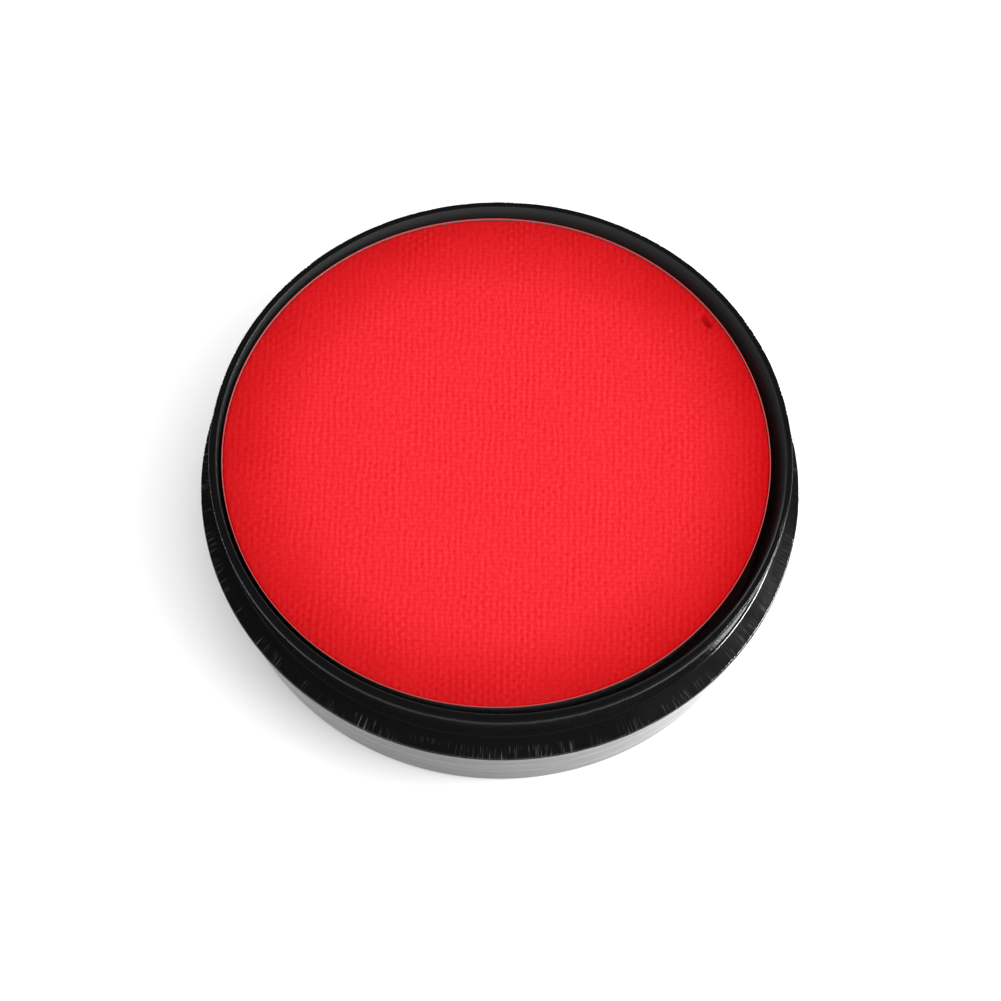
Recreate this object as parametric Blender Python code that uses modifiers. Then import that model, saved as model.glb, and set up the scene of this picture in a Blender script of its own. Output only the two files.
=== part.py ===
"""Open face-paint jar: a glossy tapered outer shell, an inner cup snapped into its mouth,
and a refill that lifts out of the cup, which is a thin pan holding one round pressed paint cake.

Metres, +Z up. The origin is the centre of the circle that the jar stands on.
Every piece is turned, so each one is a profile with a Screw modifier.
"""

import math

import bpy

SEGMENTS = 96
MM = 0.001

# Driving sizes
HEIGHT = 21.6 * MM
RIM_RADIUS = 36.1 * MM
FLANGE_RADIUS = 37.5 * MM
FOOT_RADIUS = 34.9 * MM
WALL = 1.3 * MM
GAP = 0.3 * MM  # left between pieces that touch on the real jar

# Inner cup
WELL_RADIUS = 35.15 * MM
WELL_FLOOR_RADIUS = 33.2 * MM
CUP_FLOOR = 10.6 * MM
LIP_DEPTH = 1.0 * MM
LIP_UNDERCUT = 1.1 * MM
NECK_RADIUS = 35.45 * MM
NECK_FOOT_RADIUS = 35.3 * MM
LEDGE_TOP = HEIGHT - 6.6 * MM
FLANGE_TOP = LEDGE_TOP - 1.5 * MM
FLANGE_THICKNESS = 0.8 * MM
SPIGOT_RADIUS = 34.9 * MM
GROOVE_DEPTH = 0.6 * MM

# Outer shell
SHELL_TOP = FLANGE_TOP - FLANGE_THICKNESS - GAP
SHELL_LIP_RADIUS = 37.0 * MM
SHELL_SHOULDER_RADIUS = 36.35 * MM
SHELL_SHOULDER = SHELL_TOP - 1.8 * MM
SHELL_MOUTH_RADIUS = SPIGOT_RADIUS + GAP
SNAP_HEIGHT = SHELL_TOP - 1.15 * MM
SNAP_RIDGE = 0.5 * MM
FOOT_RING_WIDTH = 1.4 * MM
FOOT_RECESS = 0.8 * MM
FOOT_EDGE = 0.5 * MM

# Refill: a pan that sits loose in the well, towards its -X side and a little to the front
PAN_RADIUS = 33.95 * MM
PAN_FLOOR_RADIUS = 31.9 * MM
PAN_SHEET = 0.2 * MM
PAN_TOP = HEIGHT - 0.45 * MM
PAN_FLOOR = CUP_FLOOR + GAP
PAN_CORNER = 0.9 * MM
PAN_SHIFT = 0.6 * MM
PAN_SHIFT_ANGLE = 198.7  # degrees from +X towards +Y
CAKE_TOP = PAN_TOP - 0.1 * MM
CAKE_FLOOR = PAN_FLOOR + PAN_SHEET + GAP
CAKE_EDGE = 0.25 * MM


def clear_scene():
    for obj in list(bpy.data.objects):
        bpy.data.objects.remove(obj, do_unlink=True)


def material(name, colour, roughness, metallic=0.0):
    mat = bpy.data.materials.new(name)
    mat.use_nodes = True
    shader = mat.node_tree.nodes["Principled BSDF"]
    shader.inputs["Base Color"].default_value = (*colour, 1.0)
    shader.inputs["Roughness"].default_value = roughness
    shader.inputs["Metallic"].default_value = metallic
    mat.diffuse_color = (*colour, 1.0)
    return mat


def turned(name, profile, mat, collection):
    """One closed piece from (radius, height) points, which start and end on the axis
    and run down the outer side."""
    mesh = bpy.data.meshes.new(name)
    points = [(radius, 0.0, height) for radius, height in profile]
    edges = [(i, i + 1) for i in range(len(points) - 1)]
    mesh.from_pydata(points, edges, [])
    mesh.materials.append(mat)
    obj = bpy.data.objects.new(name, mesh)
    collection.objects.link(obj)
    screw = obj.modifiers.new("turn", "SCREW")
    screw.axis = "Z"
    screw.angle = math.tau
    screw.steps = SEGMENTS
    screw.render_steps = SEGMENTS
    screw.use_merge_vertices = True
    screw.merge_threshold = 0.00001
    screw.use_smooth_shade = True
    return obj


def arc(centre, radius, start, end, steps):
    """Points on a circle in the profile plane, with angles in degrees from +radius to +height."""
    points = []
    for i in range(steps + 1):
        angle = math.radians(start + (end - start) * i / steps)
        points.append((centre[0] + radius * math.cos(angle), centre[1] + radius * math.sin(angle)))
    return points


def mixed(a, b, share):
    return a + (b - a) * share


def cup_profile():
    """Well, rim, undercut lip for the lid, neck, sloping ledge, flange and snap spigot."""
    rim_edge = 0.25 * MM
    well_corner = 1.2 * MM
    snap_half = 0.35 * MM
    flange_bottom = FLANGE_TOP - FLANGE_THICKNESS
    cup_bottom = CUP_FLOOR - WALL
    flange_middle = (FLANGE_TOP + flange_bottom) / 2
    return [
        (0.0, CUP_FLOOR),
        (WELL_FLOOR_RADIUS - well_corner, CUP_FLOOR),
        (WELL_FLOOR_RADIUS, CUP_FLOOR + well_corner / 2),
        (WELL_RADIUS, HEIGHT - rim_edge),
        (WELL_RADIUS + rim_edge / 2, HEIGHT),
        (RIM_RADIUS - rim_edge, HEIGHT),
        (RIM_RADIUS, HEIGHT - rim_edge),
        (RIM_RADIUS, HEIGHT - LIP_DEPTH),
        (NECK_RADIUS, HEIGHT - LIP_DEPTH - LIP_UNDERCUT),
        (NECK_FOOT_RADIUS, LEDGE_TOP),
        (FLANGE_RADIUS - FLANGE_THICKNESS / 4, FLANGE_TOP),
        (FLANGE_RADIUS, flange_middle),
        (FLANGE_RADIUS - FLANGE_THICKNESS / 4, flange_bottom),
        (SPIGOT_RADIUS, flange_bottom),
        (SPIGOT_RADIUS, SNAP_HEIGHT + 2 * snap_half),
        (SPIGOT_RADIUS - GROOVE_DEPTH, SNAP_HEIGHT + snap_half),
        (SPIGOT_RADIUS - GROOVE_DEPTH, SNAP_HEIGHT - snap_half),
        (SPIGOT_RADIUS, SNAP_HEIGHT - 2 * snap_half),
        (SPIGOT_RADIUS - WALL / 2, cup_bottom),
        (0.0, cup_bottom),
    ]


def shell_profile():
    """Mouth with an inner snap ridge, floor, flared lip, tapered wall, foot ring and recess."""
    floor = FOOT_RECESS + WALL
    inner_foot = FOOT_RADIUS - WALL
    ring_inner = FOOT_RADIUS - FOOT_EDGE - FOOT_RING_WIDTH
    foot_wall = arc((FOOT_RADIUS - FOOT_EDGE, FOOT_EDGE), FOOT_EDGE, 0, -90, 3)
    return [
        (0.0, floor),
        (inner_foot - WALL, floor),
        (inner_foot, floor + WALL),
        (mixed(SHELL_MOUTH_RADIUS, inner_foot, 0.25), SNAP_HEIGHT - 2 * SNAP_RIDGE),
        (SHELL_MOUTH_RADIUS, SNAP_HEIGHT - SNAP_RIDGE),
        (SHELL_MOUTH_RADIUS - SNAP_RIDGE, SNAP_HEIGHT),
        (SHELL_MOUTH_RADIUS, SNAP_HEIGHT + SNAP_RIDGE),
        (SHELL_MOUTH_RADIUS, SHELL_TOP),
        (SHELL_LIP_RADIUS, SHELL_TOP),
        (SHELL_SHOULDER_RADIUS, SHELL_SHOULDER),
        *foot_wall,
        (ring_inner, 0.0),
        (ring_inner - FOOT_RECESS, FOOT_RECESS),
        (0.0, FOOT_RECESS),
    ]


def pan_profile():
    """Thin drafted sheet pan with an open top and a rounded bottom corner."""
    inside = PAN_FLOOR + PAN_SHEET
    return [
        (0.0, inside),
        (PAN_FLOOR_RADIUS - PAN_SHEET - PAN_CORNER, inside),
        (PAN_FLOOR_RADIUS - PAN_SHEET, inside + PAN_CORNER),
        (PAN_RADIUS - PAN_SHEET, PAN_TOP),
        (PAN_RADIUS, PAN_TOP),
        (PAN_FLOOR_RADIUS, PAN_FLOOR + PAN_CORNER),
        (PAN_FLOOR_RADIUS - PAN_CORNER, PAN_FLOOR),
        (0.0, PAN_FLOOR),
    ]


def cake_profile():
    """Pressed cake that fills the pan, with a small edge radius at the top."""
    top_radius = PAN_RADIUS - PAN_SHEET - GAP
    floor_radius = PAN_FLOOR_RADIUS - PAN_SHEET - GAP
    return [
        (0.0, CAKE_TOP),
        (top_radius - CAKE_EDGE, CAKE_TOP),
        (top_radius, CAKE_TOP - CAKE_EDGE),
        (floor_radius, CAKE_FLOOR + PAN_CORNER),
        (floor_radius - PAN_CORNER, CAKE_FLOOR),
        (0.0, CAKE_FLOOR),
    ]


def build():
    clear_scene()
    collection = bpy.data.collections.new("paint_jar")
    bpy.context.scene.collection.children.link(collection)

    black_satin = material("cup_black", (0.012, 0.012, 0.013), 0.42)
    black_gloss = material("shell_black", (0.008, 0.008, 0.009), 0.12)
    pan_metal = material("pan_aluminium", (0.78, 0.77, 0.75), 0.3, 1.0)
    red_cake = material("cake_red", (0.86, 0.02, 0.03), 0.72)

    turned("outer_shell", shell_profile(), black_gloss, collection)
    turned("inner_cup", cup_profile(), black_satin, collection)

    refill_axis = bpy.data.objects.new("refill_axis", None)
    shift_angle = math.radians(PAN_SHIFT_ANGLE)
    refill_axis.location = (PAN_SHIFT * math.cos(shift_angle), PAN_SHIFT * math.sin(shift_angle), 0.0)
    collection.objects.link(refill_axis)
    refill = (
        turned("paint_pan", pan_profile(), pan_metal, collection),
        turned("paint_cake", cake_profile(), red_cake, collection),
    )
    for piece in refill:
        piece.parent = refill_axis


build()
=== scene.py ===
"""Looks of the open face-paint jar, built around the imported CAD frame. Metres, +Z up.

Every visible piece is a fine mesh that stands for its CAD node: the cup with its rim, undercut lip,
ribbed ledge and flange, the glossy shell, the thin pan, and the cake with the print of a woven
cloth in its face.
"""

import math

import bpy
import numpy as np
from mathutils import Matrix, Vector, noise


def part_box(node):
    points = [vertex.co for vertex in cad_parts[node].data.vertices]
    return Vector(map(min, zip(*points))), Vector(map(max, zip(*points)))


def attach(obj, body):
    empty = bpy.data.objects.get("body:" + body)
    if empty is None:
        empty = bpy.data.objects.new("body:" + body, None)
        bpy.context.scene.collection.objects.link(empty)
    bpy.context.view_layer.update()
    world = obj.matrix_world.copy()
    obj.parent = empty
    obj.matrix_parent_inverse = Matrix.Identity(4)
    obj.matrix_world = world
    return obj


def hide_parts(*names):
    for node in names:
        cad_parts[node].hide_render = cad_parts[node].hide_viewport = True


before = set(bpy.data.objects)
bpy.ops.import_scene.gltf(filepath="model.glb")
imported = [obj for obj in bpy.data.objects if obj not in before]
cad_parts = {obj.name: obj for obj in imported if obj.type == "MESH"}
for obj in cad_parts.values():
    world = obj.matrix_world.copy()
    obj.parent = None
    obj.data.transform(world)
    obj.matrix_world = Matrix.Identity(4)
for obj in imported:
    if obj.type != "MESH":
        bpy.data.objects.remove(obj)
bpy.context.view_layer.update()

MM = 0.001

# ---------------------------------------------------------------- sizes from the frame
CUP_LOW, CUP_HIGH = (Vector(corner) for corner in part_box("inner_cup"))
SHELL_HIGH = Vector(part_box("outer_shell")[1])
PAN_LOW, PAN_HIGH = (Vector(corner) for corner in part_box("paint_pan"))

HEIGHT = CUP_HIGH.z
FLANGE_RADIUS = CUP_HIGH.x
CUP_BOTTOM = CUP_LOW.z
SHELL_TOP = SHELL_HIGH.z
SHELL_LIP_RADIUS = SHELL_HIGH.x
PAN_RADIUS = (PAN_HIGH.x - PAN_LOW.x) / 2
REFILL_X = (PAN_HIGH.x + PAN_LOW.x) / 2
REFILL_Y = (PAN_HIGH.y + PAN_LOW.y) / 2
PAN_TOP = PAN_HIGH.z
PAN_FLOOR = PAN_LOW.z

# ---------------------------------------------------------------- sizes of the fine shape
GAP = 0.3 * MM  # left between pieces that touch on the real jar
RIM_RADIUS = 36.1 * MM
WELL_RADIUS = 35.15 * MM
LIP_DEPTH = 1.0 * MM
LIP_UNDERCUT = 1.1 * MM
WELL_FLOOR_RADIUS = 33.2 * MM
CUP_FLOOR = 10.6 * MM
NECK_RADIUS = 35.45 * MM
NECK_FOOT_RADIUS = 35.3 * MM
LEDGE_TOP = HEIGHT - 6.6 * MM
FLANGE_TOP = HEIGHT - 8.1 * MM
FLANGE_BOTTOM = FLANGE_TOP - 0.8 * MM
SPIGOT_RADIUS = 34.9 * MM
GROOVE_DEPTH = 0.6 * MM
SNAP_HEIGHT = SHELL_TOP - 1.15 * MM
SNAP_RIDGE = 0.5 * MM
SHELL_MOUTH_RADIUS = SPIGOT_RADIUS + GAP
SHELL_FLOOR = 2.1 * MM
SHOULDER_RADIUS = 36.35 * MM
SHOULDER_HEIGHT = SHELL_TOP - 1.8 * MM
FOOT_RADIUS = 34.9 * MM
FOOT_EDGE = 0.5 * MM
FOOT_RECESS = 0.8 * MM
WALL = 1.3 * MM
PAN_SHEET = 0.2 * MM
PAN_FLOOR_RADIUS = 31.9 * MM
PAN_CORNER = 0.9 * MM
PAN_LIP = 0.13 * MM
CAKE_RADIUS = PAN_RADIUS - PAN_LIP - 0.02 * MM
CAKE_TOP = PAN_TOP - 0.1 * MM
CAKE_EDGE = 0.2 * MM
SHELL_SEGMENTS = 480
PAN_SEGMENTS = 480

# Ribs and the finest marks on the cup
RIBS = 400
RIB_HEIGHT = 0.12 * MM
STEPS_PER_RIB = 4
SHOULDER_RIBS = 0.8  # share of RIB_HEIGHT
NECK_RIBS = 0.3
RIB_START = 1.1 * MM  # out from the foot of the neck, give or take RIB_START_SPREAD
RIB_START_SPREAD = 0.5 * MM
RIM_FILLET = 0.55 * MM
SEALING_RIDGE = 0.08 * MM
SCORE_FIRST = WELL_RADIUS + 0.26 * MM
SCORE_LAST = RIM_RADIUS - 0.2 * MM
SCORE_PITCH = 0.12 * MM
SCORE_DEPTH = 0.035 * MM

# Print of the cloth and the nick in the cake
WARP_PITCH = 0.77 * MM
WEFT_PITCH = 0.61 * MM
WEAVE_DEPTH = 0.02 * MM
NICK = (25.9 * MM, 19.8 * MM)
NICK_TURN = math.radians(129.0)
NICK_HALF_LENGTH = 0.95 * MM
NICK_HALF_WIDTH = 0.28 * MM
NICK_DEPTH = 0.8 * MM

# ---------------------------------------------------------------- sizes of the stage
TABLE_RADIUS = 4.0
TABLE_DROP = 0.05 * MM  # keeps the table just under the foot
CAMERA_ELEVATION = 63.5
CAMERA_ROLL = 1.5
CAMERA_LENS = 131.5
CAMERA_DISTANCE = 0.4515  # from the middle of the rim
AIM_DROP = 2.9 * MM  # of the aim under half the height


# ---------------------------------------------------------------- turned meshes
def rounded(corners, arc_steps=5, support=0.04 * MM):
    """Points of a profile with rounded corners. Each corner is (radius, height, fillet). A short
    support step beside each fillet keeps the smooth shading on the fillet."""
    points = []
    count = len(corners)
    for i, (radius, height, fillet) in enumerate(corners):
        here = Vector((radius, height))
        if fillet <= 0 or i in (0, count - 1):
            points.append(here)
            continue
        back = Vector(corners[i - 1][:2]) - here
        ahead = Vector(corners[i + 1][:2]) - here
        u, v = back.normalized(), ahead.normalized()
        turn = math.pi - u.angle(v)
        if turn < 0.02:
            points.append(here)
            continue
        reach = min(fillet * math.tan(turn / 2), 0.45 * back.length, 0.45 * ahead.length)
        size = reach / math.tan(turn / 2)
        centre = here + (u + v).normalized() * (size / math.cos(turn / 2))
        start, end = here + u * reach, here + v * reach
        first, last = start - centre, end - centre
        swing = first.angle_signed(last)
        points.append(start + u * support)
        for k in range(arc_steps + 1):
            points.append(centre + Matrix.Rotation(-swing * k / arc_steps, 2) @ first)
        points.append(end + v * support)
    return [(p.x, p.y) for p in points]


def filled(points, longest, above=-1.0):
    """The same profile with no step longer than longest, where it is higher than above."""
    result = [points[0]]
    for (r0, z0), (r1, z1) in zip(points, points[1:]):
        parts = max(1, math.ceil(math.hypot(r1 - r0, z1 - z0) / longest)) if min(z0, z1) > above else 1
        for k in range(1, parts + 1):
            result.append((r0 + (r1 - r0) * k / parts, z0 + (z1 - z0) * k / parts))
    return result


def turned(name, profile, segments, centre=(0.0, 0.0), relief=None):
    """Closed turned piece. profile runs from the axis, down its outer side, back to the axis.
    relief(angle, radius, height) gives the distance that a point stands off along its normal."""
    rings = np.array(profile[1:-1])
    count = len(rings)
    angles = np.arange(segments) * math.tau / segments
    along = np.gradient(rings, axis=0)
    normal = np.stack([-along[:, 1], along[:, 0]], axis=1)
    normal /= np.maximum(np.linalg.norm(normal, axis=1), 1e-12)[:, None]
    radius = np.repeat(rings[:, 0:1], segments, axis=1)
    height = np.repeat(rings[:, 1:2], segments, axis=1)
    if relief is not None:
        off = relief(angles[None, :], radius, height)
        radius, height = radius + normal[:, 0:1] * off, height + normal[:, 1:2] * off
    x = centre[0] + radius * np.cos(angles)
    y = centre[1] + radius * np.sin(angles)
    points = np.stack([x, y, height], axis=2).reshape(-1, 3)
    ends = [(*centre, profile[0][1]), (*centre, profile[-1][1])]
    points = np.vstack([points, ends])
    top, bottom = count * segments, count * segments + 1
    faces = []
    following = (np.arange(segments) + 1) % segments
    for ring in range(count - 1):
        a = ring * segments + np.arange(segments)
        b = ring * segments + following
        faces.extend(np.stack([a, a + segments, b + segments, b], axis=1).tolist())
    last = (count - 1) * segments
    faces.extend([[top, k, int(following[k])] for k in range(segments)])
    faces.extend([[bottom, last + int(following[k]), last + k] for k in range(segments)])
    return mesh_object(name, points, faces)


def mesh_object(name, points, faces):
    mesh = bpy.data.meshes.new(name)
    mesh.from_pydata([tuple(p) for p in points], [], faces)
    mesh.validate()
    mesh.shade_smooth()
    obj = bpy.data.objects.new(name, mesh)
    bpy.context.scene.collection.objects.link(obj)
    return obj


def smoothstep(low, high, value):
    t = np.clip((value - low) / (high - low), 0.0, 1.0)
    return t * t * (3.0 - 2.0 * t)


def ring_noise(angles, waves, seed):
    """Smooth value noise round a circle, from about -1 to 1."""
    rng = np.random.default_rng(seed)
    knots = rng.uniform(-1.0, 1.0, waves)
    place = (angles / math.tau * waves) % waves
    low = np.floor(place).astype(int) % waves
    share = place - np.floor(place)
    share = share * share * (3.0 - 2.0 * share)
    return knots[low] * (1.0 - share) + knots[(low + 1) % waves] * share


# ---------------------------------------------------------------- pieces
def cup_relief(angles, radius, height):
    """Fine uneven ribs round the shoulder of the rim, the neck, the outer half of the ledge and the
    edge of the flange, and scored circles on the top of the rim, where a lid turns."""
    beat = 0.5 + 0.5 * np.cos(RIBS * angles + 1.8 * ring_noise(angles, 150, 3))
    uneven = 0.45 + 0.55 * ring_noise(angles, 310, 5) + 0.25 * ring_noise(angles, 37, 8)
    uneven = np.clip(uneven, 0.05, 1.0)
    on_rim = height > HEIGHT - LIP_DEPTH
    shoulder = on_rim * smoothstep(RIM_RADIUS - RIM_FILLET, RIM_RADIUS - 0.15 * MM, radius)
    below_rim = (height < LEDGE_TOP) & (height > FLANGE_BOTTOM + 0.1 * MM)
    start = NECK_FOOT_RADIUS + RIB_START + RIB_START_SPREAD * ring_noise(angles, 260, 12)
    outer_ledge = smoothstep(0.0, 0.5 * MM, radius - start)
    on_neck = (height > LEDGE_TOP + 0.6 * MM) & (height < HEIGHT - LIP_DEPTH - 0.2 * MM)
    ribbed = SHOULDER_RIBS * shoulder + NECK_RIBS * on_neck + below_rim * outer_ledge
    ribs = RIB_HEIGHT * (1.0 - beat) * uneven ** 2 * ribbed
    scored = on_rim & (radius > SCORE_FIRST) & (radius < SCORE_LAST)
    wave = 0.5 - 0.5 * np.cos(math.tau * (radius - SCORE_FIRST) / SCORE_PITCH)
    worn = 0.6 + 0.4 * ring_noise(angles + 40.0 * radius / MM, 60, 9)
    return -ribs - SCORE_DEPTH * wave * worn * scored


def make_cup():
    groove = SPIGOT_RADIUS - GROOVE_DEPTH
    corners = [
        (0.0, CUP_FLOOR, 0.0),
        (WELL_FLOOR_RADIUS, CUP_FLOOR, 0.6 * MM),
        (WELL_RADIUS, HEIGHT - 0.25 * MM, 0.5 * MM),
        (WELL_RADIUS, HEIGHT, 0.05 * MM),
        (WELL_RADIUS + 0.12 * MM, HEIGHT, 0.03 * MM),
        (WELL_RADIUS + 0.24 * MM, HEIGHT - SEALING_RIDGE, 0.03 * MM),
        (RIM_RADIUS, HEIGHT - SEALING_RIDGE, RIM_FILLET),
        (RIM_RADIUS, HEIGHT - LIP_DEPTH, 0.1 * MM),
        (NECK_RADIUS, HEIGHT - LIP_DEPTH - LIP_UNDERCUT, 0.4 * MM),
        (NECK_FOOT_RADIUS, LEDGE_TOP, 0.5 * MM),
        (FLANGE_RADIUS, FLANGE_TOP - 0.05 * MM, 0.25 * MM),
        (FLANGE_RADIUS, FLANGE_BOTTOM, 0.15 * MM),
        (SPIGOT_RADIUS, FLANGE_BOTTOM, 0.1 * MM),
        (SPIGOT_RADIUS, SNAP_HEIGHT + 0.7 * MM, 0.1 * MM),
        (groove, SNAP_HEIGHT + 0.35 * MM, 0.1 * MM),
        (groove, SNAP_HEIGHT - 0.35 * MM, 0.1 * MM),
        (SPIGOT_RADIUS, SNAP_HEIGHT - 0.7 * MM, 0.1 * MM),
        (SPIGOT_RADIUS - 0.65 * MM, CUP_BOTTOM, 0.4 * MM),
        (0.0, CUP_BOTTOM, 0.0),
    ]
    profile = filled(rounded(corners, arc_steps=4), SCORE_PITCH / 4, above=HEIGHT - 0.3 * MM)
    return turned("cup_moulding", profile, RIBS * STEPS_PER_RIB, relief=cup_relief)


def make_shell():
    inner_foot = FOOT_RADIUS - WALL
    mouth_foot = SHELL_MOUTH_RADIUS + 0.25 * (inner_foot - SHELL_MOUTH_RADIUS)
    ring_inner = FOOT_RADIUS - 1.9 * MM
    corners = [
        (0.0, SHELL_FLOOR, 0.0),
        (inner_foot, SHELL_FLOOR, 1.2 * MM),
        (mouth_foot, SNAP_HEIGHT - 2 * SNAP_RIDGE, 0.5 * MM),
        (SHELL_MOUTH_RADIUS, SNAP_HEIGHT - SNAP_RIDGE, 0.1 * MM),
        (SHELL_MOUTH_RADIUS - SNAP_RIDGE, SNAP_HEIGHT, 0.2 * MM),
        (SHELL_MOUTH_RADIUS, SNAP_HEIGHT + SNAP_RIDGE, 0.1 * MM),
        (SHELL_MOUTH_RADIUS, SHELL_TOP, 0.2 * MM),
        (SHELL_LIP_RADIUS, SHELL_TOP, 0.15 * MM),
        (SHOULDER_RADIUS, SHOULDER_HEIGHT, 1.6 * MM),
        (FOOT_RADIUS, FOOT_EDGE, 0.6 * MM),
        (FOOT_RADIUS - FOOT_EDGE, 0.0, 0.3 * MM),
        (ring_inner, 0.0, 0.2 * MM),
        (ring_inner - FOOT_RECESS, FOOT_RECESS, 0.3 * MM),
        (0.0, FOOT_RECESS, 0.0),
    ]
    return turned("shell_moulding", filled(rounded(corners), 1.5 * MM), SHELL_SEGMENTS)


def make_pan():
    inside = PAN_FLOOR + PAN_SHEET
    corners = [
        (0.0, inside, 0.0),
        (PAN_FLOOR_RADIUS - PAN_SHEET, inside, PAN_CORNER),
        (PAN_RADIUS - PAN_SHEET - 0.1 * MM, PAN_TOP - 1.4 * MM, 0.0),
        (PAN_RADIUS - PAN_LIP, PAN_TOP, PAN_LIP / 3),
        (PAN_RADIUS, PAN_TOP, PAN_LIP / 3),
        (PAN_FLOOR_RADIUS, PAN_FLOOR, PAN_CORNER),
        (0.0, PAN_FLOOR, 0.0),
    ]
    profile = rounded(corners, support=0.015 * MM)
    return turned("pan_sheet", profile, PAN_SEGMENTS, centre=(REFILL_X, REFILL_Y))


def field(x, y, size_x, size_y, seed):
    """Smooth noise over the cake's face, with lumps of size_x by size_y."""
    return np.array([noise.noise((px / size_x, py / size_y, seed)) for px, py in zip(x, y)])


def cloth_print(x, y):
    """Height of the cloth's print in the cake at x, y from the cake's centre: a plain weave whose
    threads wander, pressed deeper in some patches than in others, with loose fibres along it."""
    warp = math.tau * x / (2 * WARP_PITCH) + 2.2 * field(x, y, 3 * MM, 6 * MM, 1.7)
    weft = math.tau * y / (2 * WEFT_PITCH) + 2.2 * field(x, y, 4 * MM, 3 * MM, 8.3)
    ridge = 0.9 * np.cos(2 * warp)
    checks = np.cos(warp + weft) + 0.7 * np.cos(warp - weft)
    pressed = 0.6 + 0.8 * field(x, y, 5 * MM, 7 * MM, 4.1) + 0.5 * field(x, y, 1.2 * MM, 2.4 * MM, 6.6)
    fibres = 1.3 * field(x, y, 0.45 * MM, 1.5 * MM, 2.9)
    depth = WEAVE_DEPTH * ((ridge + checks) * np.clip(pressed, 0.3, 1.2) + fibres)
    nick_x, nick_y = x - NICK[0], y - NICK[1]
    along = nick_x * math.cos(NICK_TURN) + nick_y * math.sin(NICK_TURN)
    across = nick_y * math.cos(NICK_TURN) - nick_x * math.sin(NICK_TURN)
    nick = np.exp(-((along / NICK_HALF_LENGTH) ** 4) - (across / NICK_HALF_WIDTH) ** 2)
    return depth - NICK_DEPTH * nick


def make_cake():
    """A grid of fine quads for the printed face, pulled out to a true circle at its edge, then
    rings of quads down the side and a fan for the floor."""
    step_x, step_y = WARP_PITCH / 4, WEFT_PITCH / 3
    face_radius = CAKE_RADIUS - CAKE_EDGE
    half_x, half_y = int(face_radius / step_x) + 1, int(face_radius / step_y) + 1
    columns, rows = 2 * half_x + 1, 2 * half_y + 1
    along_x, along_y = (np.arange(columns) - half_x) * step_x, (np.arange(rows) - half_y) * step_y
    gx, gy = np.meshgrid(along_x, along_y)
    inside = np.hypot(gx, gy) < face_radius
    whole = inside[:-1, :-1] & inside[1:, :-1] & inside[:-1, 1:] & inside[1:, 1:]
    label = np.arange(rows * columns).reshape(rows, columns)
    quads = np.stack([label[:-1, :-1], label[:-1, 1:], label[1:, 1:], label[1:, :-1]], axis=2)[whole]
    used = np.unique(quads)
    place = np.full(rows * columns, -1)
    place[used] = np.arange(len(used))
    quads = place[quads]
    x, y = gx.ravel()[used], gy.ravel()[used]
    sides = np.concatenate([quads[:, [k, (k + 1) % 4]] for k in range(4)])
    pairs, counts = np.unique(np.sort(sides, axis=1), axis=0, return_counts=True)
    rim = np.unique(pairs[counts == 1])
    order = rim[np.argsort(np.arctan2(y[rim], x[rim]))]
    scale = face_radius / np.hypot(x[order], y[order])
    x[order], y[order] = x[order] * scale, y[order] * scale
    z = CAKE_TOP + cloth_print(x, y) - 3.0 * WEAVE_DEPTH
    points = [np.stack([x, y, z], axis=1)]
    faces = quads.tolist()
    angle = np.arctan2(y[order], x[order])
    side_low = PAN_FLOOR + PAN_SHEET + GAP
    floor_radius = PAN_FLOOR_RADIUS - PAN_SHEET - GAP
    # Each ring is (radius, height, drop); without a height it lies that drop under the face's edge.
    rings = []
    for degrees in (30, 60, 90):
        turn = math.radians(degrees)
        rings.append((face_radius + CAKE_EDGE * math.sin(turn), None, CAKE_EDGE * (1 - math.cos(turn))))
    rings += [
        (floor_radius + 0.8 * (CAKE_RADIUS - floor_radius), CAKE_TOP - 2.0 * MM, 0.0),
        (floor_radius, side_low + PAN_CORNER, 0.0),
        (floor_radius - PAN_CORNER, side_low, 0.0),
    ]
    start, before, total = len(x), order, len(order)
    for radius, height, drop in rings:
        level = (z[order] - drop) if height is None else np.full(total, height)
        points.append(np.stack([radius * np.cos(angle), radius * np.sin(angle), level], axis=1))
        ring = start + np.arange(total)
        after = np.roll(ring, -1)
        faces.extend(np.stack([before, ring, after, np.roll(before, -1)], axis=1).tolist())
        start, before = start + total, ring
    points.append(np.array([[0.0, 0.0, side_low]]))
    after = np.roll(before, -1)
    faces.extend([[int(a), start, int(b)] for a, b in zip(before, after)])
    everything = np.vstack(points)
    everything[:, :2] += (REFILL_X, REFILL_Y)
    return mesh_object("pressed_cake", everything, faces)


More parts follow.
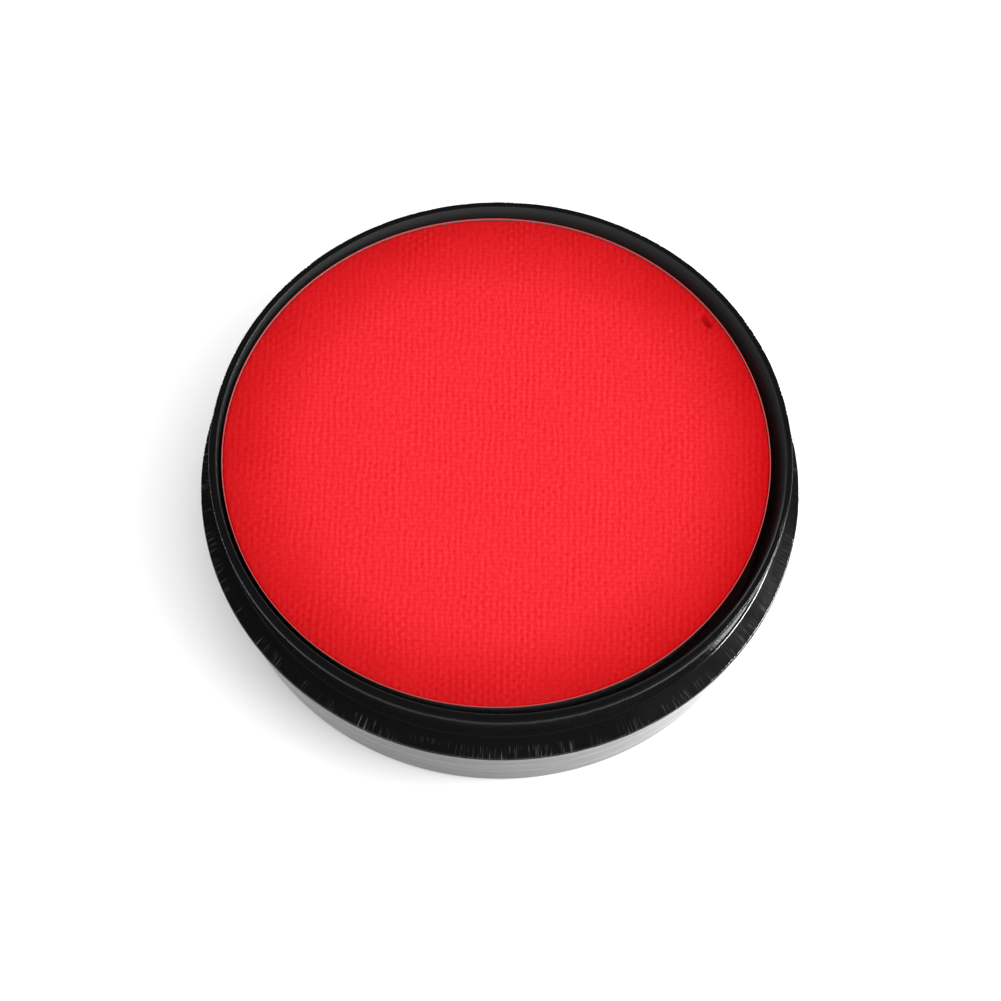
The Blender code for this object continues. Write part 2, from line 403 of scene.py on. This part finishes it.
# ---------------------------------------------------------------- materials
class Nodes:
    """Short calls for a material's node tree."""

    def __init__(self, name):
        self.material = bpy.data.materials.new(name)
        self.material.use_nodes = True
        self.tree = self.material.node_tree
        self.shader = self.tree.nodes["Principled BSDF"]
        self.place = self.add("ShaderNodeTexCoord").outputs["Object"]

    def add(self, kind, **settings):
        node = self.tree.nodes.new(kind)
        for key, value in settings.items():
            setattr(node, key, value)
        return node

    def link(self, source, target):
        self.tree.links.new(source, target)

    def feed(self, socket, value):
        """Link the socket to another one, or give it a plain value."""
        if isinstance(value, bpy.types.NodeSocket):
            self.link(value, socket)
        else:
            socket.default_value = value

    def math(self, operation, a, b=0.0):
        node = self.add("ShaderNodeMath", operation=operation)
        self.feed(node.inputs[0], a)
        self.feed(node.inputs[1], b)
        return node.outputs[0]

    def split(self, vector):
        node = self.add("ShaderNodeSeparateXYZ")
        self.link(vector, node.inputs[0])
        return node.outputs

    def join(self, x, y, z):
        node = self.add("ShaderNodeCombineXYZ")
        for socket, value in zip(node.inputs, (x, y, z)):
            self.feed(socket, value)
        return node.outputs[0]

    def noise(self, vector, scale, detail=2.0, roughness=0.5):
        node = self.add("ShaderNodeTexNoise")
        self.link(vector, node.inputs["Vector"])
        node.inputs["Scale"].default_value = scale
        node.inputs["Detail"].default_value = detail
        node.inputs["Roughness"].default_value = roughness
        return node.outputs["Fac"]

    def range(self, value, low, high, to_low, to_high):
        node = self.add("ShaderNodeMapRange")
        node.clamp = True
        node.inputs["From Min"].default_value = low
        node.inputs["From Max"].default_value = high
        node.inputs["To Min"].default_value = to_low
        node.inputs["To Max"].default_value = to_high
        self.link(value, node.inputs["Value"])
        return node.outputs["Result"]

    def ramp(self, value, stops):
        node = self.add("ShaderNodeValToRGB")
        self.link(value, node.inputs["Fac"])
        elements = node.color_ramp.elements
        while len(elements) < len(stops):
            elements.new(0.5)
        for element, (position, colour) in zip(elements, stops):
            element.position = position
            element.color = (*colour, 1.0)
        return node.outputs["Color"]

    def blend(self, share, first, second):
        """first where share is 0 and second where it is 1; both are colours or colour sockets."""
        node = self.add("ShaderNodeMix", data_type="RGBA")
        self.link(share, node.inputs["Factor"])
        for key, value in ((6, first), (7, second)):
            plain = not isinstance(value, bpy.types.NodeSocket)
            self.feed(node.inputs[key], (*value, 1.0) if plain else value)
        return node.outputs[2]

    def bump(self, height, distance, strength=1.0, before=None):
        node = self.add("ShaderNodeBump")
        node.inputs["Strength"].default_value = strength
        node.inputs["Distance"].default_value = distance
        self.link(height, node.inputs["Height"])
        if before is not None:
            self.link(before, node.inputs["Normal"])
        return node.outputs["Normal"]

    def polar(self, centre=(0.0, 0.0)):
        """Radius, angle and height of a point round the jar's axis, or round an axis beside it."""
        x, y, z = self.split(self.place)
        x = self.math("SUBTRACT", x, centre[0])
        y = self.math("SUBTRACT", y, centre[1])
        square_x, square_y = self.math("MULTIPLY", x, x), self.math("MULTIPLY", y, y)
        radius = self.math("SQRT", self.math("ADD", square_x, square_y))
        angle = self.math("ARCTAN2", y, x)
        return radius, angle, z


def black_satin():
    """Cup plastic: fine grain and a few specks all over, a painted highlight line on the lower edge of the
    lip, painted highlight streaks across the ledge, a rubbed rim, the wall of the well painted a lighter
    grey as painted light down the shaded gap round the pan, and paint dust down that wall."""
    n = Nodes("cup_plastic")
    radius, angle, height = n.polar()
    grain = n.noise(n.place, 9000.0, detail=3.0)
    cloud = n.noise(n.place, 260.0, detail=4.0)
    specks = n.add("ShaderNodeTexVoronoi")
    n.link(n.place, specks.inputs["Vector"])
    specks.inputs["Scale"].default_value = 260.0
    speck = n.range(specks.outputs["Distance"], 0.018, 0.03, 1.0, 0.0)
    colour = n.ramp(speck, [(0.0, (0.0042, 0.0042, 0.0044)), (1.0, (0.3, 0.3, 0.3))])

    # Painted highlight: a slightly lighter line, patchy with the cloud, along the lower edge of the lip,
    # where that edge catches light.
    off_edge = n.math("ABSOLUTE", n.math("SUBTRACT", height, HEIGHT - LIP_DEPTH + 0.1 * MM))
    edge = n.math("MULTIPLY", n.range(off_edge, 0.05 * MM, 0.15 * MM, 1.0, 0.0),
                  n.range(radius, RIM_RADIUS - 0.3 * MM, RIM_RADIUS - 0.1 * MM, 0.0, 1.0))
    lip_edge_highlight = n.math("MULTIPLY", edge, n.range(cloud, 0.3, 0.6, 0.5, 1.0))
    colour = n.blend(lip_edge_highlight, colour, (0.008, 0.008, 0.0085))

    # Painted highlights: lighter streaks, in patches, across the outer part of the ledge, standing in for
    # light caught along its ribs.
    around = n.join(n.math("COSINE", angle), n.math("SINE", angle), n.math("MULTIPLY", height, 2.5))
    ledge_highlight_streaks = n.range(n.noise(around, 230.0, detail=1.0), 0.58, 0.76, 0.0, 1.0)
    ledge = n.math("MULTIPLY", n.range(radius, RIM_RADIUS + 0.1 * MM, RIM_RADIUS + 0.5 * MM, 0.0, 1.0),
                   n.range(cloud, 0.42, 0.62, 0.0, 1.0))
    colour = n.blend(n.math("MULTIPLY", ledge_highlight_streaks, ledge), colour, (0.07, 0.07, 0.07))

    # Painted light: the wall of the well is a lighter grey than the rest of the plastic, to brighten the
    # shaded gap round the pan. The same mask also holds the paint dust below.
    wall = n.range(radius, WELL_RADIUS, WELL_RADIUS + 0.15 * MM, 1.0, 0.0)
    colour = n.blend(wall, colour, (0.03, 0.03, 0.031))
    dusty = n.math("MULTIPLY", n.range(height, HEIGHT - 2.6 * MM, HEIGHT - 1.4 * MM, 1.0, 0.0), wall)
    dust = n.math("MULTIPLY", dusty, n.range(cloud, 0.3, 0.6, 0.1, 0.4))
    colour = n.blend(dust, colour, (0.12, 0.004, 0.006))
    n.link(colour, n.shader.inputs["Base Color"])

    rim_top = HEIGHT - SEALING_RIDGE
    rubbed = n.math("MULTIPLY", n.range(height, rim_top - 0.1 * MM, rim_top - 0.05 * MM, 0.0, 1.0),
                    n.range(radius, RIM_RADIUS - RIM_FILLET, RIM_RADIUS - 0.3 * MM, 1.0, 0.0))
    rough = n.math("ADD", n.range(cloud, 0.3, 0.7, 0.12, 0.18), n.math("MULTIPLY", rubbed, 0.14))
    n.link(rough, n.shader.inputs["Roughness"])
    n.link(n.bump(grain, 0.006 * MM, 0.6), n.shader.inputs["Normal"])
    n.shader.inputs["Specular IOR Level"].default_value = 0.016
    return n.material


def black_gloss():
    """Shell plastic: a polished moulding with faint waves round it and fine marks."""
    n = Nodes("shell_plastic")
    _, angle, height = n.polar()
    band = n.join(
        n.math("MULTIPLY", n.math("COSINE", angle), 2.0),
        n.math("MULTIPLY", n.math("SINE", angle), 2.0),
        n.math("MULTIPLY", height, 450.0),
    )
    waves = n.noise(band, 1.3, detail=4.0)
    marks = n.noise(n.place, 900.0, detail=5.0, roughness=0.6)
    colour = n.ramp(marks, [(0.3, (0.003, 0.003, 0.0032)), (0.8, (0.0065, 0.0065, 0.0068))])
    n.link(colour, n.shader.inputs["Base Color"])
    n.link(n.range(marks, 0.3, 0.75, 0.08, 0.16), n.shader.inputs["Roughness"])
    n.link(n.bump(waves, 0.12 * MM, 0.6), n.shader.inputs["Normal"])
    n.shader.inputs["IOR"].default_value = 1.52
    return n.material


def bare_aluminium():
    """Pan sheet: drawn aluminium with fine marks round its wall. Towards its top it turns into a matt grey
    band that is not metallic: painted light that brightens the shaded gap round the pan. Red pigment runs
    along its lip."""
    n = Nodes("pan_metal")
    radius, angle, height = n.polar((REFILL_X, REFILL_Y))
    band = n.join(
        n.math("MULTIPLY", n.math("COSINE", angle), 4.0),
        n.math("MULTIPLY", n.math("SINE", angle), 4.0),
        n.math("MULTIPLY", n.math("ADD", height, radius), 6000.0),
    )
    draw = n.noise(band, 1.0, detail=3.0)
    bare = n.ramp(draw, [(0.3, (0.4, 0.39, 0.38)), (0.7, (0.56, 0.55, 0.54))])
    # Painted light: a matt grey band, not metallic, over the top of the pan's wall, which lightens the
    # shaded gap between pan and well.
    painted_light_band = n.range(height, PAN_TOP - 9.5 * MM, PAN_TOP - 2.5 * MM, 0.0, 1.0)
    dust = n.range(height, PAN_TOP - 0.14 * MM, PAN_TOP - 0.06 * MM, 0.0, 1.0)
    metal_and_light_band = n.blend(painted_light_band, bare, (0.1, 0.095, 0.095))
    n.link(n.blend(dust, metal_and_light_band, (0.4, 0.055, 0.055)), n.shader.inputs["Base Color"])
    n.link(n.range(draw, 0.3, 0.7, 0.3, 0.45), n.shader.inputs["Roughness"])
    n.link(n.math("SUBTRACT", 1.0, painted_light_band), n.shader.inputs["Metallic"])
    n.shader.inputs["Specular IOR Level"].default_value = 0.008
    n.link(n.bump(draw, 0.01 * MM, 0.5), n.shader.inputs["Normal"])
    return n.material


def red_paint():
    """Pressed pigment: a painted sheen brightens its middle and painted shade darkens it towards the rim.
    The fibres of the cloth and the grain of the powder are in it, with painted shade in a pattern at the
    weave's pitch."""
    n = Nodes("red_paint")
    radius = n.polar((REFILL_X, REFILL_Y))[0]
    x, y, _ = n.split(n.place)
    share = n.math("DIVIDE", radius, CAKE_RADIUS)
    stretched = n.join(n.math("MULTIPLY", x, 4200.0), n.math("MULTIPLY", y, 1300.0), 0.0)
    fibres = n.noise(stretched, 1.0, detail=4.0, roughness=0.6)
    powder = n.noise(n.place, 6000.0, detail=4.0, roughness=0.7)
    cloud = n.noise(n.place, 150.0, detail=3.0)
    # Painted shade and sheen: the colour darkens from the middle out to the rim, and the paler middle
    # holds a painted sheen.
    place = n.math("SUBTRACT", share, n.math("MULTIPLY", n.math("SUBTRACT", cloud, 0.5), 0.08))
    colour = n.ramp(place, [
        (0.45, (0.57, 0.0225, 0.0315)),
        (0.7, (0.55, 0.0195, 0.027)),
        (0.82, (0.49, 0.013, 0.0175)),
        (0.92, (0.425, 0.0075, 0.0102)),
        (1.0, (0.372, 0.0045, 0.0066)),
    ])

    tone = n.add("ShaderNodeHueSaturation")
    strokes = n.math("MULTIPLY", n.math("SUBTRACT", fibres, 0.5), 0.15)
    grains = n.math("MULTIPLY", n.math("SUBTRACT", powder, 0.5), 0.1)
    n.link(n.math("ADD", n.math("ADD", strokes, grains), 1.0), tone.inputs["Value"])
    n.link(colour, tone.inputs["Color"])

    # Painted shade: the colour darkens in a pattern at the pitch of the cloth's weave and where the fibres
    # and grains lie low, standing in for the shade of the print's relief.
    sway = n.math("MULTIPLY", n.noise(n.place, 300.0, detail=1.0), 9.0)
    wales = n.math("SINE", n.math("ADD", n.math("MULTIPLY", x, math.tau / WARP_PITCH), sway))
    rows = n.math("SINE", n.math("ADD", n.math("MULTIPLY", y, math.tau / WEFT_PITCH), sway))
    cloth = n.math("MULTIPLY", n.math("ADD", n.math("MULTIPLY", wales, 1.5), rows), 0.06)
    relief_shade = n.math("ADD", n.math("ADD", fibres, n.math("SUBTRACT", powder, 0.5)), cloth)
    shade = n.ramp(relief_shade, [(0.25, (0.91, 0.25, 0.34)), (0.8, (1.0, 1.0, 1.0))])
    mixed = n.add("ShaderNodeMix", data_type="RGBA", blend_type="MULTIPLY")
    mixed.inputs["Factor"].default_value = 1.0
    n.link(tone.outputs["Color"], mixed.inputs[6])
    n.link(shade, mixed.inputs[7])
    n.link(mixed.outputs[2], n.shader.inputs["Base Color"])

    n.link(n.range(powder, 0.3, 0.7, 0.62, 0.8), n.shader.inputs["Roughness"])
    normal = n.bump(powder, 0.01 * MM, 0.8)
    normal = n.bump(fibres, 0.03 * MM, 0.8, before=normal)
    n.link(normal, n.shader.inputs["Normal"])
    n.shader.inputs["Specular IOR Level"].default_value = 0.015
    return n.material


def white_table():
    """Plain matt white, with hardly any cloud in it."""
    n = Nodes("white_table")
    cloud = n.noise(n.place, 3.0, detail=2.0)
    colour = n.ramp(cloud, [(0.0, (0.86, 0.86, 0.86)), (1.0, (0.89, 0.89, 0.89))])
    n.link(colour, n.shader.inputs["Base Color"])
    n.shader.inputs["Roughness"].default_value = 0.9
    n.shader.inputs["Specular IOR Level"].default_value = 0.1
    return n.material


# ---------------------------------------------------------------- stage
def make_table():
    segments = 96
    points = [(0.0, 0.0, -TABLE_DROP)]
    for k in range(segments):
        angle = math.tau * k / segments
        points.append((TABLE_RADIUS * math.cos(angle), TABLE_RADIUS * math.sin(angle), -TABLE_DROP))
    faces = [[0, 1 + k, 1 + (k + 1) % segments] for k in range(segments)]
    table = mesh_object("table", points, faces)
    table.data.materials.append(white_table())


def direction(azimuth, elevation):
    """Unit vector towards a place given by its angle from +X and its height above the table."""
    a, e = math.radians(azimuth), math.radians(elevation)
    return Vector((math.cos(e) * math.cos(a), math.cos(e) * math.sin(a), math.sin(e)))


def softbox(name, azimuth, elevation, distance, width, height, power):
    """Rectangular light that faces the jar from a distance."""
    data = bpy.data.lights.new(name, "AREA")
    data.shape = "RECTANGLE"
    data.size = width
    data.size_y = height
    data.energy = power
    lamp = bpy.data.objects.new(name, data)
    towards = direction(azimuth, elevation)
    lamp.location = towards * distance
    lamp.rotation_euler = towards.to_track_quat("Z", "Y").to_euler()
    bpy.context.scene.collection.objects.link(lamp)
    return lamp


def background(tree, strength):
    node = tree.nodes.new("ShaderNodeBackground")
    node.inputs["Color"].default_value = (1.0, 1.0, 1.0, 1.0)
    if isinstance(strength, bpy.types.NodeSocket):
        tree.links.new(strength, node.inputs["Strength"])
    else:
        node.inputs["Strength"].default_value = strength
    return node.outputs[0]


def chosen(tree, ray, usual, for_ray):
    """The usual world, or the other one for one kind of ray."""
    rays = tree.nodes.new("ShaderNodeLightPath")
    mix = tree.nodes.new("ShaderNodeMixShader")
    tree.links.new(rays.outputs[ray], mix.inputs["Fac"])
    tree.links.new(usual, mix.inputs[1])
    tree.links.new(for_ray, mix.inputs[2])
    return mix.outputs[0]


def make_lights():
    softbox("key", azimuth=-20.0, elevation=42.0, distance=1.1, width=0.8, height=0.6, power=5.0)
    # A low strip that only glosses see: it draws the edges of the black plastic.
    strip = softbox("strip", azimuth=-4.0, elevation=8.0, distance=1.1, width=0.6, height=0.2, power=520.0)
    strip.visible_diffuse = False
    world = bpy.data.worlds.new("studio")
    world.use_nodes = True
    tree = world.node_tree
    tree.nodes.remove(tree.nodes["Background"])
    # The dome is bright on the right and dim on the left.
    place = tree.nodes.new("ShaderNodeTexCoord")
    side = tree.nodes.new("ShaderNodeVectorMath")
    side.operation = "DOT_PRODUCT"
    side.inputs[1].default_value = direction(-30.0, 0.0)
    tree.links.new(place.outputs["Generated"], side.inputs[0])
    dome = tree.nodes.new("ShaderNodeMapRange")
    for key, number in (("From Min", -0.7), ("From Max", 0.7), ("To Min", 0.9), ("To Max", 2.2)):
        dome.inputs[key].default_value = number
    tree.links.new(side.outputs["Value"], dome.inputs["Value"])
    light = background(tree, dome.outputs["Result"])
    light = chosen(tree, "Is Glossy Ray", light, background(tree, 0.08))  # dim, so that black stays black
    light = chosen(tree, "Is Camera Ray", light, background(tree, 1.0))  # white behind the table
    tree.links.new(light, tree.nodes["World Output"].inputs["Surface"])
    bpy.context.scene.world = world
    bpy.context.scene.view_settings.view_transform = "Standard"


def make_camera():
    data = bpy.data.cameras.new("camera")
    data.lens = CAMERA_LENS
    data.sensor_width = 36.0
    data.clip_start = 0.01
    camera = bpy.data.objects.new("camera", data)
    target = Vector((0.1 * MM, 0.12 * MM, HEIGHT / 2 - AIM_DROP))
    towards = direction(-90.0, CAMERA_ELEVATION)
    distance = CAMERA_DISTANCE + (HEIGHT / 2 + AIM_DROP) * math.sin(math.radians(CAMERA_ELEVATION))
    roll = Matrix.Rotation(math.radians(CAMERA_ROLL), 4, "Z")
    turn = towards.to_track_quat("Z", "Y").to_matrix().to_4x4() @ roll
    camera.matrix_world = Matrix.Translation(target + towards * distance) @ turn
    bpy.context.scene.collection.objects.link(camera)
    bpy.context.scene.camera = camera


# ---------------------------------------------------------------- assembly
def dress(piece, body, node, material):
    """Give a piece its material, tie it to its body, and hide the CAD part that it stands for."""
    piece.data.materials.append(material)
    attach(piece, body)
    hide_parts(node)


make_camera()
make_lights()
make_table()
dress(make_shell(), "jar", "outer_shell", black_gloss())
dress(make_cup(), "jar", "inner_cup", black_satin())
dress(make_pan(), "refill", "paint_pan", bare_aluminium())
dress(make_cake(), "refill", "paint_cake", red_paint())
